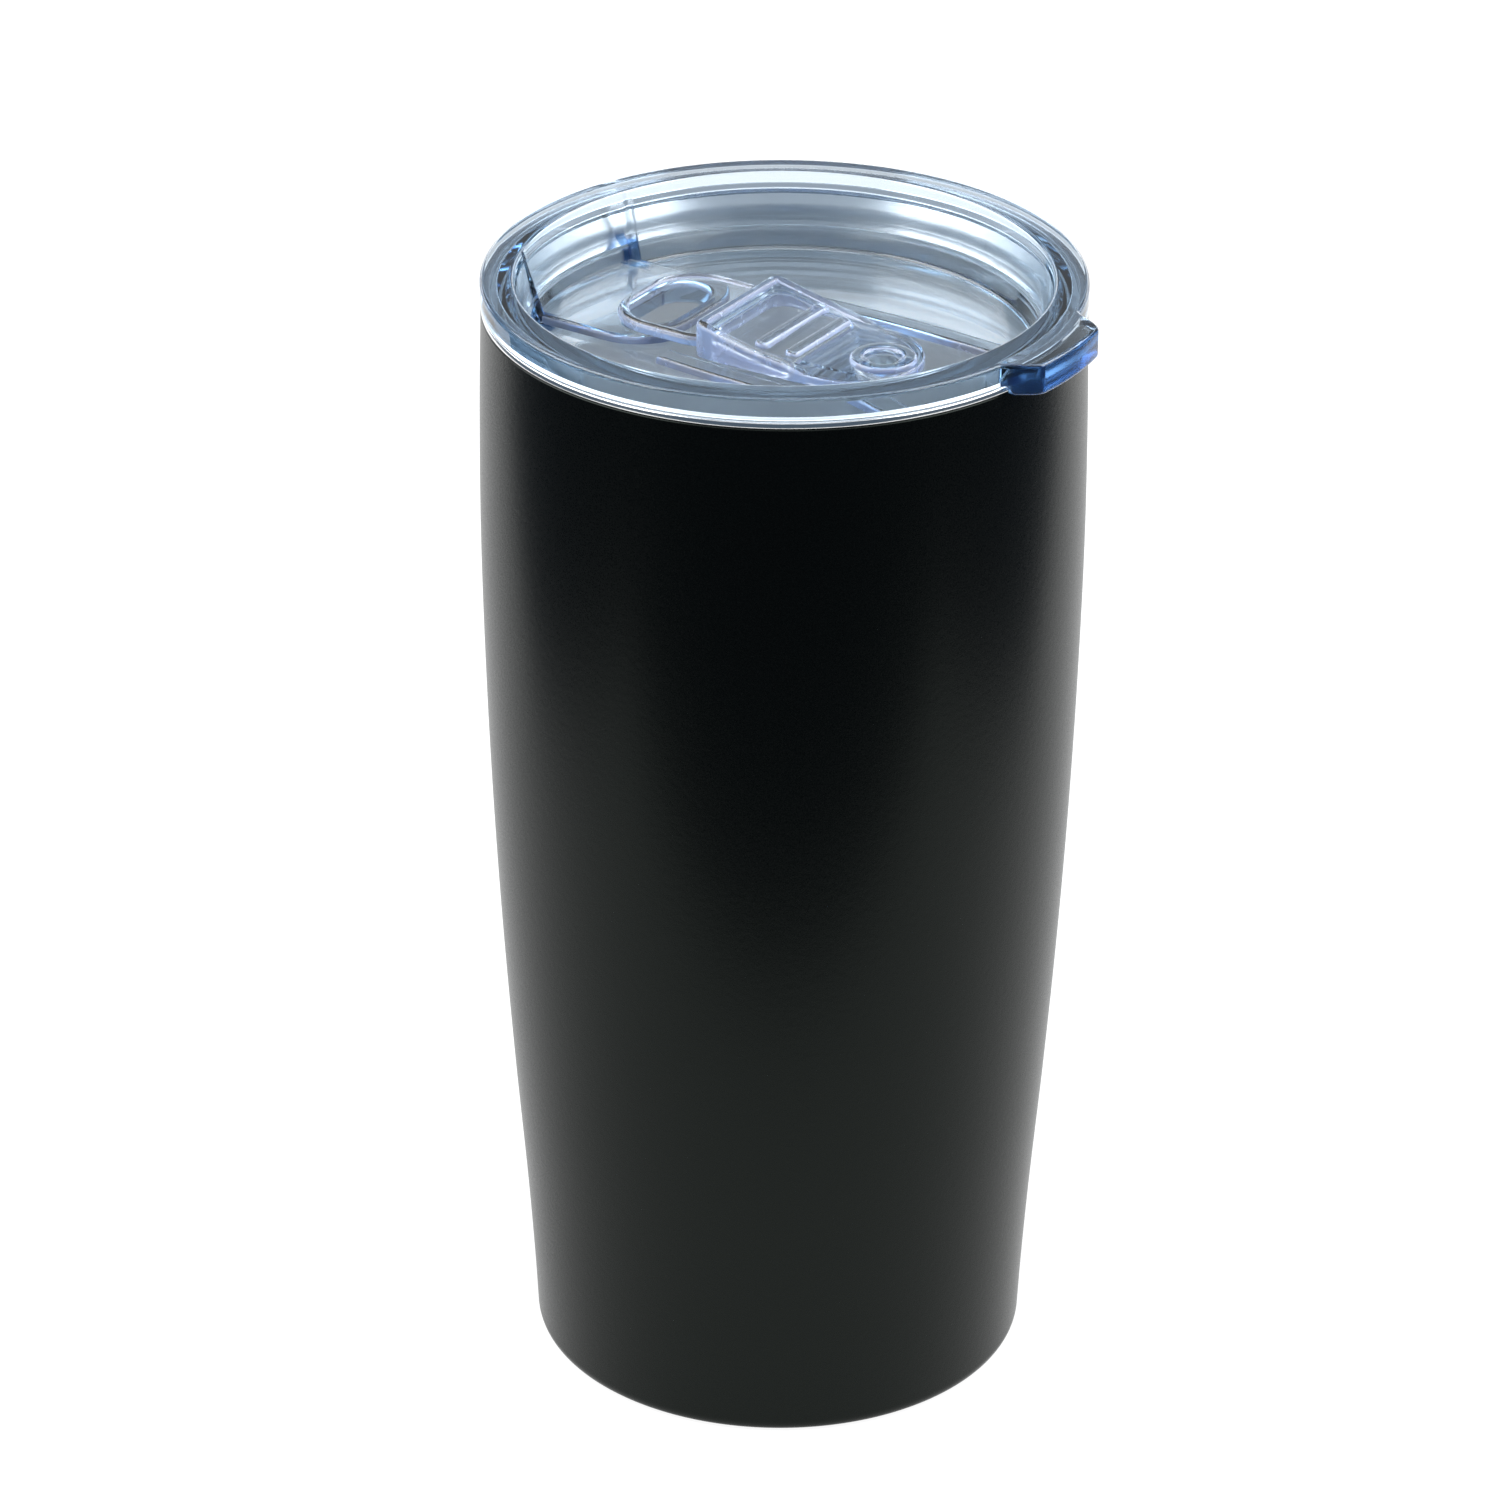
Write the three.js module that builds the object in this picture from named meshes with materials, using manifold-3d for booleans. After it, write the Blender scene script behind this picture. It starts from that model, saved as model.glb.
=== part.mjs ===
// Insulated tumbler with a clear sliding lid, as an assembly of separate pieces.
// Millimetres, +Z up. The origin is on the axis of the cup, in the plane its foot stands on.
// +X points from the drinking side to the thumb tab of the lid, the way the slider opens.
import * as THREE from "three";
import { mergeVertices } from "three/addons/utils/BufferGeometryUtils.js";
import Module from "manifold-3d";

const wasm = await Module();
wasm.setup();

// ---- driving dimensions ----
const SEGMENTS = 48; // sides of a full turn
const CURVE_STEPS = 9; // steps along the barrel-shaped wall
const GAP = 0.3; // space left between pieces that touch
const SHEET = 0.8; // steel thickness

const FOOT_RADIUS = 35.9; // outer edge of the flat ring the cup stands on
const FOOT_FILLET = 1.9;
const FOOT_HOLE_RADIUS = 30; // inner edge of that ring
const SHELL_TOP = 171.1; // where the coated wall ends below the bare steel lip
const WALL_POINTS = [[37.8, 1.9], [38.85, 20], [41.94, 60], [44.03, 100], [44.9, 140], [44.4, SHELL_TOP]];

const BASE_RADIUS = 35.4; // pressed cup that closes the outer shell
const BASE_LOW = 1.9;
const BASE_RIM = 9;
const COVER_LOW = 0.7; // thin disc set into the foot
const COVER_THICK = 0.8;
const SEAL_HOLE_RADIUS = 1.2; // hole through which the air is drawn out
const SEAL_POCKET_RADIUS = 4;

const LINER_FLOOR = 10;
const LINER_FLOOR_RADIUS = 26;
const LINER_CORNER = 8;
const LINER_NECK_RADIUS = 41.8; // inside radius where the lid's gasket sits
const LINER_NECK_LOW = 156;
const LINER_NECK_HIGH = 169.5;
const MOUTH_RADIUS = 42.9;
const LIP_RADIUS = 44.4;
const LIP_TOP = 172.2;

const LID_RADIUS = 44.5;
const LID_TOP = 175.94;
const FLANGE_LOW = 172.5;
const RECESS_TOP_RADIUS = 39.6;
const RECESS_FLOOR = 164.5;
const RECESS_FLOOR_RADIUS = 36.9;
const LID_FLOOR_THICK = 2.3;
const PLUG_LOW_RADIUS = 39.3;
const PLUG_HIGH_RADIUS = 41.9;
const GROOVE_RADIUS = 38.9;
const GROOVE_LOW = 163.8;
const GROOVE_HIGH = 167.7;
const GASKET_RADIUS = 41.4;

const TAB_RADIUS = 48.8;
const TAB_LOW = 171.2;
const TAB_HALF_ANGLE = 9.75; // degrees, at its outer edge
const TAB_ROOT_ANGLE = 14.5; // degrees, where it leaves the rim

const PLATFORM_TOP = 165.8; // raised pad around the drinking hole
const PLATFORM_HALF = 13;
const PLATFORM_END = -14;
const PLATFORM_CORNER = 9;
const DRINK_X = [-24.5, -16.5];
const DRINK_HALF = 8;
const RAIL_TOP = 165.7; // low rails that guide the slider
const RAIL_INNER = 12.3;
const RAIL_WIDTH = 3.4;
const RAIL_X = [-12, 33];
const RAIL_BOW = 1.1; // how far the middle of a rail bows out
const SPOUT_RIB_ANGLE = 20; // degrees either side of the drinking side
const SPOUT_RIB_WIDTH = 1.4;
const SPOUT_RIB_DEPTH = 0.9;

const SLIDE_TRAVEL = 11;
const PLATE_LOW = 164.8; // underside of the slider's flat end
const PLATE_TOP = 166.4;
const PLATE_HALF = 10.5;
const PLATE_CENTRE = 12; // centre of its round end
const TONGUE_LOW = 166.1; // closes the drinking hole
const TONGUE_TOP = 167.3;
const TONGUE_HALF = 11;
const TONGUE_END = -26;
const GRIP_X = -9; // upright edge that the thumb pushes
const GRIP_TOP = 170.6;
const GRIP_THICK = 1.9;
const RAMP_SLOPE = 0.19;
const RAMP_THICK = 1.5;
const RAMP_BORDER = 1.6;
const RAMP_BORDER_HIGH = 0.6;
const RAMP_END = 9.5;
const RIBS = [{ x: 1.4, length: 18 }, { x: 6, length: 16 }];
const RIB_WIDTH = 2.4;
const RIB_HIGH = 0.9;
const BOSS_X = 17.2;
const BOSS_RADIUS = 5;
const BOSS_TOP = 167.3;
const DISH_RADIUS = 9;
const DISH_DEPTH = 0.7;
const PEG_RADIUS = 2.6;
const PEG_HEAD_RADIUS = 3.4;
const PEG_HEAD_LOW = 158.6;
const PEG_HEAD_THICK = 1.1;
const SLOT_CLEARANCE = 0.35;
const RETAINER_RADIUS = 6;
const RETAINER_LOW = 160;

// ---- helpers ----
const group = new THREE.Group();
const DEGREE = Math.PI / 180;

// A shape turned about the Z axis from a list of [radius, height].
function lathe(profile, segments = SEGMENTS) {
  const points = profile.map(([radius, height]) => new THREE.Vector2(radius, height));
  return new THREE.LatheGeometry(points, segments).rotateX(Math.PI / 2);
}

// A flat outline raised from one height to another.
function slab(outline, low, high, curveSegments = 12) {
  const options = { depth: high - low, bevelEnabled: false, curveSegments };
  return new THREE.ExtrudeGeometry(outline, options).translate(0, 0, low);
}

// A closed mesh as a solid that can be joined and cut.
function solid(geometry) {
  const bare = geometry.clone();
  bare.deleteAttribute("normal");
  bare.deleteAttribute("uv");
  const merged = mergeVertices(bare, 1e-4);
  const corners = merged.index.array;
  const faces = [];
  for (let i = 0; i < corners.length; i += 3) {
    const [a, b, c] = corners.slice(i, i + 3);
    if (a !== b && b !== c && c !== a) faces.push(a, b, c);
  }
  const mesh = new wasm.Mesh({
    numProp: 3,
    vertProperties: new Float32Array(merged.attributes.position.array),
    triVerts: new Uint32Array(faces),
  });
  return new wasm.Manifold(mesh);
}

// A solid back as a geometry.
function geometryOf(shape) {
  const mesh = shape.getMesh();
  const geometry = new THREE.BufferGeometry();
  geometry.setAttribute("position", new THREE.BufferAttribute(mesh.vertProperties, 3));
  geometry.setIndex(new THREE.BufferAttribute(mesh.triVerts, 1));
  geometry.computeVertexNormals();
  return geometry;
}

function joined(shapes) {
  return shapes.reduce((whole, shape) => whole.add(shape));
}

function add(name, geometry, material) {
  const mesh = new THREE.Mesh(geometry, material);
  mesh.name = name;
  group.add(mesh);
}

// Points on a round corner, as [radius, height].
function corner(centre, radius, fromDegrees, toDegrees, steps = 4) {
  return Array.from({ length: steps + 1 }, (_, i) => {
    const angle = (fromDegrees + ((toDegrees - fromDegrees) * i) / steps) * DEGREE;
    return [centre[0] + radius * Math.cos(angle), centre[1] + radius * Math.sin(angle)];
  });
}

// A rectangle in plan with round corners.
function roundedPlan(x0, x1, halfWidth, radius) {
  const plan = new THREE.Shape();
  plan.moveTo(x0 + radius, -halfWidth);
  plan.lineTo(x1 - radius, -halfWidth);
  plan.absarc(x1 - radius, radius - halfWidth, radius, -Math.PI / 2, 0);
  plan.lineTo(x1, halfWidth - radius);
  plan.absarc(x1 - radius, halfWidth - radius, radius, 0, Math.PI / 2);
  plan.lineTo(x0 + radius, halfWidth);
  plan.absarc(x0 + radius, halfWidth - radius, radius, Math.PI / 2, Math.PI);
  plan.lineTo(x0, radius - halfWidth);
  plan.absarc(x0 + radius, radius - halfWidth, radius, Math.PI, 1.5 * Math.PI);
  return plan;
}

function cylinder(radius, low, high, x = 0, segments = 24) {
  return lathe([[0, low], [radius, low], [radius, high], [0, high]], segments).translate(x, 0, 0);
}

// ---- materials ----
function material(color, roughness, metalness, opacity = 1) {
  const look = { color, roughness, metalness, opacity, transparent: opacity < 1 };
  return new THREE.MeshStandardMaterial(look);
}
const blackCoat = material(0x121313, 0.55, 0.1);
const steel = material(0xc9cbcc, 0.3, 1);
const sealant = material(0x6d6a63, 0.6, 0);
const getterMetal = material(0x5a5a5c, 0.7, 0.6);
const clearPlastic = material(0xc8d6ee, 0.08, 0, 0.35);
const clearRubber = material(0xdfe6ea, 0.45, 0, 0.6);

// ---- cup ----
// The wall's outside, from the foot's rounded edge up to the lip.
function wallCurve() {
  const points = WALL_POINTS.map(([radius, height]) => new THREE.Vector2(radius, height));
  return new THREE.SplineCurve(points).getPoints(CURVE_STEPS).map((p) => [p.x, p.y]);
}

// The wall's outside radius at a height, straight between its steps.
function wallRadius(height) {
  const wall = wallCurve();
  const next = Math.max(1, wall.findIndex((point) => point[1] >= height));
  const [low, high] = [wall[next - 1], wall[next]];
  return low[0] + ((high[0] - low[0]) * (height - low[1])) / (high[1] - low[1]);
}

function outerShell() {
  const outside = wallCurve();
  const foot = corner([FOOT_RADIUS, FOOT_FILLET], FOOT_FILLET, -90, -22.5, 3);
  const inside = outside.map(([radius, height]) => [radius - SHEET, height]).reverse();
  inside[inside.length - 1] = [FOOT_RADIUS + 1, FOOT_FILLET + SHEET];
  return lathe([
    [FOOT_HOLE_RADIUS, 0],
    ...foot,
    ...outside,
    ...inside,
    [FOOT_RADIUS, SHEET],
    [FOOT_HOLE_RADIUS, SHEET],
    [FOOT_HOLE_RADIUS, 0],
  ]);
}

function outerBase() {
  const low = BASE_LOW;
  const top = BASE_LOW + SHEET;
  return lathe([
    [SEAL_HOLE_RADIUS, low + 1],
    [SEAL_POCKET_RADIUS, low + 1],
    [SEAL_POCKET_RADIUS + 1, low],
    [BASE_RADIUS - 1, low],
    [BASE_RADIUS, low + 1],
    [BASE_RADIUS + 0.7, BASE_RIM],
    [BASE_RADIUS + 0.7 - SHEET, BASE_RIM],
    [BASE_RADIUS - SHEET, top + 1],
    [BASE_RADIUS - 1 - SHEET, top],
    [SEAL_POCKET_RADIUS + 1, top],
    [SEAL_POCKET_RADIUS, top + 1],
    [SEAL_HOLE_RADIUS, top + 1],
    [SEAL_HOLE_RADIUS, low + 1],
  ]);
}

function baseCover() {
  const radius = FOOT_HOLE_RADIUS - GAP;
  return lathe([[0, COVER_LOW], [radius, COVER_LOW], [radius, COVER_LOW + COVER_THICK], [0, COVER_LOW + COVER_THICK]]);
}

// Bead that closes the vacuum hole, seated in the pocket under the base.
function vacuumSeal() {
  const low = COVER_LOW + COVER_THICK + GAP;
  const high = BASE_LOW + 1 - GAP;
  return lathe([[0, low], [SEAL_POCKET_RADIUS - 1, low], [SEAL_POCKET_RADIUS - 1, high], [0, high]], 24);
}

function innerLiner() {
  const floor = LINER_FLOOR;
  const centre = [LINER_FLOOR_RADIUS, floor + LINER_CORNER];
  const inside = [
    [0, floor],
    ...corner(centre, LINER_CORNER, -90, -5),
    [37.4, 60],
    [39.6, 100],
    [40.9, 130],
    [LINER_NECK_RADIUS, LINER_NECK_LOW],
    [LINER_NECK_RADIUS, LINER_NECK_HIGH],
    [MOUTH_RADIUS, SHELL_TOP + GAP],
    [MOUTH_RADIUS + 0.3, LIP_TOP],
  ];
  const shoulder = SHELL_TOP + GAP;
  const outside = [
    [LIP_RADIUS - 0.2, LIP_TOP],
    [LIP_RADIUS, LIP_TOP - 0.3],
    [LIP_RADIUS, shoulder],
    [MOUTH_RADIUS + 0.4, shoulder],
    [LINER_NECK_RADIUS + SHEET, LINER_NECK_HIGH],
    [LINER_NECK_RADIUS + SHEET, LINER_NECK_LOW],
    [40.9 + SHEET, 130],
    [39.6 + SHEET, 100],
    [37.4 + SHEET, 60],
    ...corner(centre, LINER_CORNER + SHEET, -5, -90),
    [0, floor - SHEET],
  ];
  return lathe([...inside, ...outside].reverse());
}

// Getter: a ring that soaks up gas left in the vacuum, held on the outer base.
function getterHolder() {
  const low = BASE_LOW + SHEET + GAP;
  return lathe([[14, low], [20, low], [20, low + 2], [19.4, low + 2], [19.4, low + 0.6], [14.6, low + 0.6],
    [14.6, low + 2], [14, low + 2], [14, low]], 32);
}

function getterRing() {
  const low = BASE_LOW + SHEET + GAP + 0.6 + GAP;
  return lathe([[15, low], [19, low], [19, low + 1.6], [15, low + 1.6], [15, low]], 32);
}

// ---- lid ----
// The recess wall's inside radius at a height.
function recessRadius(height) {
  const rise = (height - RECESS_FLOOR) / (LID_TOP - RECESS_FLOOR);
  return RECESS_FLOOR_RADIUS + (RECESS_TOP_RADIUS - RECESS_FLOOR_RADIUS) * rise;
}

function lidShell() {
  const underside = RECESS_FLOOR - LID_FLOOR_THICK;
  return solid(lathe([
    [0, underside],
    [PLUG_LOW_RADIUS - 1, underside],
    [PLUG_LOW_RADIUS, underside + 1],
    [PLUG_LOW_RADIUS, GROOVE_LOW],
    [GROOVE_RADIUS, GROOVE_LOW],
    [GROOVE_RADIUS, GROOVE_HIGH],
    [PLUG_HIGH_RADIUS - 1.2, GROOVE_HIGH],
    [PLUG_HIGH_RADIUS, FLANGE_LOW],
    [LID_RADIUS - 0.3, FLANGE_LOW],
    [LID_RADIUS, FLANGE_LOW + 0.3],
    [LID_RADIUS, LID_TOP - 0.8],
    [LID_RADIUS - 0.7, LID_TOP],
    [RECESS_TOP_RADIUS + 0.4, LID_TOP],
    [RECESS_TOP_RADIUS - 0.1, LID_TOP - 0.5],
    [RECESS_FLOOR_RADIUS + 0.1, RECESS_FLOOR + 0.4],
    [RECESS_FLOOR_RADIUS - 0.4, RECESS_FLOOR],
    [0, RECESS_FLOOR],
  ]));
}

// Thumb tab: an outer arc with hollow flanks that run into the rim.
function tab() {
  const at = (radius, degrees) => [radius * Math.cos(degrees * DEGREE), radius * Math.sin(degrees * DEGREE)];
  const inner = LID_RADIUS - 2;
  const plan = new THREE.Shape();
  plan.moveTo(...at(inner, -TAB_ROOT_ANGLE));
  plan.lineTo(...at(LID_RADIUS - 0.2, -TAB_ROOT_ANGLE));
  plan.quadraticCurveTo(...at(LID_RADIUS, -TAB_HALF_ANGLE - 1.2), ...at(TAB_RADIUS - 1.5, -TAB_HALF_ANGLE - 0.4));
  plan.quadraticCurveTo(...at(TAB_RADIUS, -TAB_HALF_ANGLE), ...at(TAB_RADIUS, -TAB_HALF_ANGLE + 1.8));
  plan.absarc(0, 0, TAB_RADIUS, (1.8 - TAB_HALF_ANGLE) * DEGREE, (TAB_HALF_ANGLE - 1.8) * DEGREE);
  plan.quadraticCurveTo(...at(TAB_RADIUS, TAB_HALF_ANGLE), ...at(TAB_RADIUS - 1.5, TAB_HALF_ANGLE + 0.4));
  plan.quadraticCurveTo(...at(LID_RADIUS, TAB_HALF_ANGLE + 1.2), ...at(LID_RADIUS - 0.2, TAB_ROOT_ANGLE));
  plan.lineTo(...at(inner, TAB_ROOT_ANGLE));
  const block = solid(slab(plan, TAB_LOW, LID_TOP, 8));
  const belowFlange = solid(cylinder(LIP_RADIUS + GAP + 0.1, TAB_LOW - 1, FLANGE_LOW + 0.1, 0, SEGMENTS));
  return block.subtract(belowFlange);
}

// Raised pad around the drinking hole, running out under the wall of the recess.
function drinkPlatform() {
  const plan = roundedPlan(-RECESS_FLOOR_RADIUS - 10, PLATFORM_END, PLATFORM_HALF, PLATFORM_CORNER);
  const pad = solid(slab(plan, RECESS_FLOOR - 1, PLATFORM_TOP, 6));
  const bounds = solid(cylinder(recessRadius(PLATFORM_TOP) + 0.6, RECESS_FLOOR - 2, PLATFORM_TOP + 1, 0, SEGMENTS));
  return pad.intersect(bounds);
}

// One bowed guide rail; side is 1 or -1.
function rail(side) {
  const [start, end] = RAIL_X;
  const middle = (start + end) / 2;
  const plan = new THREE.Shape();
  const [near, far] = [side * RAIL_INNER, side * (RAIL_INNER + RAIL_WIDTH)];
  plan.moveTo(start, near);
  plan.quadraticCurveTo(middle, near + side * 2 * RAIL_BOW, end, near);
  plan.lineTo(end, far);
  plan.quadraticCurveTo(middle, far + side * 2 * RAIL_BOW, start, far);
  const bar = solid(slab(plan, RECESS_FLOOR - 1, RAIL_TOP, 6));
  const bounds = solid(cylinder(recessRadius(RAIL_TOP) + 0.6, RECESS_FLOOR - 2, RAIL_TOP + 1, 0, SEGMENTS));
  return bar.intersect(bounds);
}

// Upright rib on the recess wall at one side of the drinking side, fading out at the rim.
function spoutRib(side) {
  const height = LID_TOP - 1 - RECESS_FLOOR;
  const plan = new THREE.Shape();
  plan.moveTo(RECESS_FLOOR_RADIUS - SPOUT_RIB_DEPTH, RECESS_FLOOR - 0.5);
  plan.lineTo(RECESS_FLOOR_RADIUS + 0.8, RECESS_FLOOR - 0.5);
  plan.lineTo(recessRadius(RECESS_FLOOR + height) + 0.5, RECESS_FLOOR + height);
  plan.lineTo(recessRadius(RECESS_FLOOR + height) - 0.2, RECESS_FLOOR + height);
  const rib = slab(plan, -SPOUT_RIB_WIDTH / 2, SPOUT_RIB_WIDTH / 2).rotateX(Math.PI / 2);
  return solid(rib.rotateZ(Math.PI + side * SPOUT_RIB_ANGLE * DEGREE));
}

function lidBody() {
  const features = [tab(), drinkPlatform(), rail(1), rail(-1), spoutRib(1), spoutRib(-1)];
  const low = RECESS_FLOOR - LID_FLOOR_THICK - 1;
  const drinkHole = solid(slab(roundedPlan(...DRINK_X, DRINK_HALF, 3.9), low, PLATFORM_TOP + 1, 6));
  const reach = PEG_RADIUS + SLOT_CLEARANCE;
  const slotPlan = roundedPlan(BOSS_X - reach, BOSS_X + SLIDE_TRAVEL + reach, reach, reach - 0.001);
  const slot = solid(slab(slotPlan, low, RECESS_FLOOR + 1, 6));
  return geometryOf(joined([lidShell(), ...features]).subtract(drinkHole).subtract(slot));
}

function lidGasket() {
  const low = GROOVE_LOW + GAP;
  const high = GROOVE_HIGH - GAP;
  const inner = GROOVE_RADIUS + GAP;
  const middle = (low + high) / 2;
  return lathe([
    [inner, low],
    [GASKET_RADIUS - 0.7, low],
    [GASKET_RADIUS, low + 0.7],
    [GASKET_RADIUS - 0.6, middle],
    [GASKET_RADIUS, high - 0.7],
    [GASKET_RADIUS - 0.7, high],
    [inner, high],
    [inner, low],
  ]);
}

// ---- slider ----
// Height of the ramp's top at a place along it.
function rampTop(x) {
  return Math.max(GRIP_TOP - 0.4 - (x - GRIP_X) * RAMP_SLOPE, PLATE_TOP);
}

// A side view outline, as [x, height], made as wide as asked and centred on the slider's axis.
function profileSolid(points, halfWidth, offset = 0) {
  const plan = new THREE.Shape(points.map(([x, height]) => new THREE.Vector2(x, height)));
  return solid(slab(plan, -halfWidth, halfWidth).rotateX(Math.PI / 2).translate(0, offset, 0));
}

// Hollow ramp with a raised border, open underneath.
function ramp() {
  const end = RAMP_END;
  const outline = [[GRIP_X, PLATE_LOW], [end, PLATE_LOW], [end, rampTop(end)], [GRIP_X, rampTop(GRIP_X)]];
  const cavityEnd = end - 2.5;
  const cavity = [
    [GRIP_X + GRIP_THICK, PLATE_LOW - 1],
    [cavityEnd, PLATE_LOW - 1],
    [cavityEnd, rampTop(cavityEnd) - RAMP_THICK],
    [GRIP_X + GRIP_THICK, rampTop(GRIP_X + GRIP_THICK) - RAMP_THICK],
  ];
  const body = profileSolid(outline, TONGUE_HALF).subtract(profileSolid(cavity, TONGUE_HALF - RAMP_THICK));
  const lift = RAMP_BORDER_HIGH;
  const border = [
    [GRIP_X, rampTop(GRIP_X) - 1],
    [end, rampTop(end) - 1],
    [end, rampTop(end)],
    [GRIP_X + GRIP_THICK, rampTop(GRIP_X + GRIP_THICK) + lift],
    [GRIP_X, GRIP_TOP],
  ];
  const side = TONGUE_HALF - RAMP_BORDER / 2;
  const borders = [1, -1].map((s) => profileSolid(border, RAMP_BORDER / 2, s * side));
  const gripEdge = profileSolid([
    [GRIP_X, PLATE_TOP],
    [GRIP_X + GRIP_THICK, PLATE_TOP],
    [GRIP_X + GRIP_THICK, GRIP_TOP - 0.1],
    [GRIP_X, GRIP_TOP],
  ], TONGUE_HALF);
  return joined([body, ...borders, gripEdge]);
}

function gripRib({ x, length }) {
  const low = PLATE_TOP;
  const high = rampTop(x) + RIB_HIGH;
  const plan = roundedPlan(-length / 2, length / 2, RIB_WIDTH / 2, RIB_WIDTH / 2 - 0.001);
  const bar = solid(slab(plan, low, high, 6).rotateZ(Math.PI / 2).translate(x, 0, 0));
  const cavityTop = rampTop(x + RIB_WIDTH) - RAMP_THICK;
  const below = solid(cylinder(30, low - 1, Math.max(cavityTop + 0.3, low - 0.5), 0, SEGMENTS));
  return bar.subtract(below);
}

function slider() {
  const tongue = solid(slab(roundedPlan(TONGUE_END, GRIP_X + 1, TONGUE_HALF, 6), TONGUE_LOW, TONGUE_TOP, 6));
  const squareOff = solid(slab(roundedPlan(GRIP_X - 8, GRIP_X + 1, TONGUE_HALF, 0.5), TONGUE_LOW, TONGUE_TOP, 2));
  const platePlan = new THREE.Shape();
  platePlan.moveTo(RAMP_END - 1, -PLATE_HALF);
  platePlan.lineTo(PLATE_CENTRE, -PLATE_HALF);
  platePlan.absarc(PLATE_CENTRE, 0, PLATE_HALF, -Math.PI / 2, Math.PI / 2);
  platePlan.lineTo(RAMP_END - 1, PLATE_HALF);
  const plate = solid(slab(platePlan, PLATE_LOW, PLATE_TOP, 20));
  const boss = solid(cylinder(BOSS_RADIUS, PLATE_LOW, BOSS_TOP, BOSS_X, 32));
  const dishCentre = BOSS_TOP - DISH_DEPTH + DISH_RADIUS;
  const dish = solid(new THREE.SphereGeometry(DISH_RADIUS, 32, 24).translate(BOSS_X, 0, dishCentre));
  const peg = solid(cylinder(PEG_RADIUS, PEG_HEAD_LOW, PLATE_LOW + 0.5, BOSS_X));
  const pegHead = solid(cylinder(PEG_HEAD_RADIUS, PEG_HEAD_LOW, PEG_HEAD_LOW + PEG_HEAD_THICK, BOSS_X));
  const top = joined([tongue, squareOff, ramp(), ...RIBS.map(gripRib), plate, boss]).subtract(dish);
  return geometryOf(joined([top, peg, pegHead]));
}

// Washer under the lid's floor that keeps the slider's peg in its slot.
function sliderRetainer() {
  const bore = PEG_RADIUS + GAP;
  const high = RECESS_FLOOR - LID_FLOOR_THICK - GAP;
  return lathe([
    [bore, RETAINER_LOW],
    [RETAINER_RADIUS, RETAINER_LOW],
    [RETAINER_RADIUS, high],
    [bore, high],
    [bore, RETAINER_LOW],
  ], 32).translate(BOSS_X, 0, 0);
}

add("outer_shell", outerShell(), blackCoat);
add("outer_base", outerBase(), steel);
add("base_cover", baseCover(), steel);
add("vacuum_seal", vacuumSeal(), sealant);
add("inner_liner", innerLiner(), steel);
add("getter_holder", getterHolder(), steel);
add("getter_ring", getterRing(), getterMetal);
add("lid_body", lidBody(), clearPlastic);
add("lid_gasket", lidGasket(), clearRubber);
add("slider", slider(), clearPlastic);
add("slider_retainer", sliderRetainer(), clearPlastic);

export default group;
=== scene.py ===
"""Looks of the insulated tumbler with its clear sliding lid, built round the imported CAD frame.

Lengths are in millimetres until a mesh is made, and then in metres. +X points to the lid's thumb tab.
"""
import math

import bmesh
import bpy
import numpy as np
from mathutils import Matrix, Vector

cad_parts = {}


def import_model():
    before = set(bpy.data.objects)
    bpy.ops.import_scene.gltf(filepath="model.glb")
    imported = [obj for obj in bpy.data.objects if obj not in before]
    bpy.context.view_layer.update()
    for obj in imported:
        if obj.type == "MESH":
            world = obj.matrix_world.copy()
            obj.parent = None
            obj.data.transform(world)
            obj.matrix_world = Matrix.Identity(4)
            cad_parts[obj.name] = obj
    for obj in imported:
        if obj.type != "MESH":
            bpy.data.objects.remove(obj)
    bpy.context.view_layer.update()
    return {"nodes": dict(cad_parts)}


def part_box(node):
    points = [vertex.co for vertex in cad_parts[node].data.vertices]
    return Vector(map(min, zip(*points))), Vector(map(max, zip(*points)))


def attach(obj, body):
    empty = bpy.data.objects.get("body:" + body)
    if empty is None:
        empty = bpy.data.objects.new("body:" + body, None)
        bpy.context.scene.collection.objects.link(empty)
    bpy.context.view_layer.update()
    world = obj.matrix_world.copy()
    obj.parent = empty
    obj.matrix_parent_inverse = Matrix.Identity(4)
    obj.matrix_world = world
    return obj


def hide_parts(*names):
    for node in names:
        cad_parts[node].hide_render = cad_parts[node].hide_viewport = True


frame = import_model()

MM = 0.001
SHARP_EDGE = math.radians(32)


# ---------------------------------------------------------------- frame
def box_mm(node):
    """A node's lowest and highest corners, in millimetres."""
    low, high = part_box(node)
    return Vector(low) / MM, Vector(high) / MM


def wall_points(node):
    """(radius, height) up the outer wall of a turned CAD node."""
    mesh = frame["nodes"][node].data
    by_height = {}
    for face in mesh.polygons:
        outward = Vector((face.center.x, face.center.y, 0)).normalized()
        if face.normal.dot(outward) > 0.5:
            for i in face.vertices:
                x, y, z = mesh.vertices[i].co / MM
                by_height[round(z, 2)] = math.hypot(x, y)
    return sorted(((r, z) for z, r in by_height.items()), key=lambda point: point[1])


_, SHELL_HIGH = box_mm("outer_shell")
LINER_LOW, LINER_HIGH = box_mm("inner_liner")
LID_LOW, LID_HIGH = box_mm("lid_body")
GASKET_LOW, GASKET_HIGH = box_mm("lid_gasket")
SLIDER_LOW, SLIDER_HIGH = box_mm("slider")
RETAINER_LOW, RETAINER_HIGH = box_mm("slider_retainer")
COVER_LOW, COVER_HIGH = box_mm("base_cover")

# ---------------------------------------------------------------- sizes
SHEET = 0.8
FOOT_FILLET = 1.9
LIP_RADIUS = LINER_HIGH.x
LIP_TOP = LINER_HIGH.z

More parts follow.
